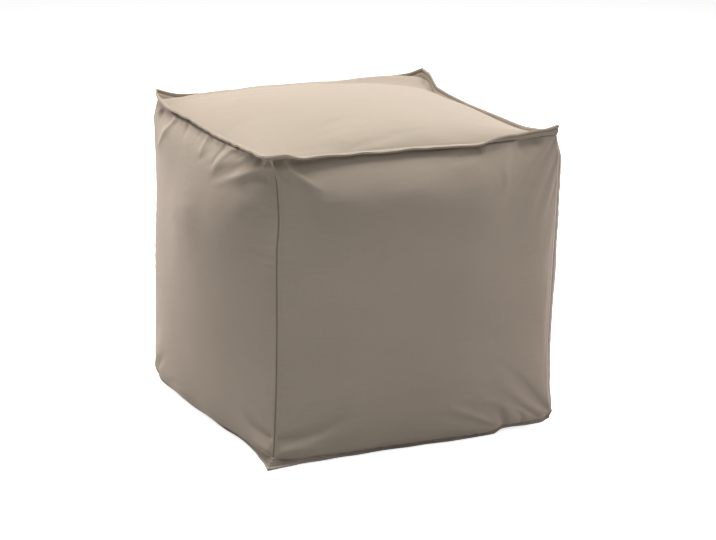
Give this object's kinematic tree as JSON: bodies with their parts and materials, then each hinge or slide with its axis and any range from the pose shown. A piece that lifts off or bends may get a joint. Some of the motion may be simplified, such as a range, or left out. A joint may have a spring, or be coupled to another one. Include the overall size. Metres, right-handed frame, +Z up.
{
  "type": "cube pouf stool",
  "caption": "Soft filled fabric cube seat with a crowned top, bowed sides, standing flanged seams round its top and base, and corner ears.",
  "frame": {"origin": "middle of the base, on the floor", "axes": "+Z up, -Y towards the front panel, -X towards the left side panel"},
  "size_m": [0.5279, 0.507, 0.4812],
  "materials": {
    "cover_cloth": "matt plain-woven cotton canvas, taupe"
  },
  "bodies": {
    "root": {"filled_body": "cover_cloth", "top_flange_front": "cover_cloth", "top_flange_right": "cover_cloth", "top_flange_back": "cover_cloth", "top_flange_left": "cover_cloth", "base_flange_front": "cover_cloth", "base_flange_right": "cover_cloth", "base_flange_back": "cover_cloth", "base_flange_left": "cover_cloth"}
  },
  "joints": []
}
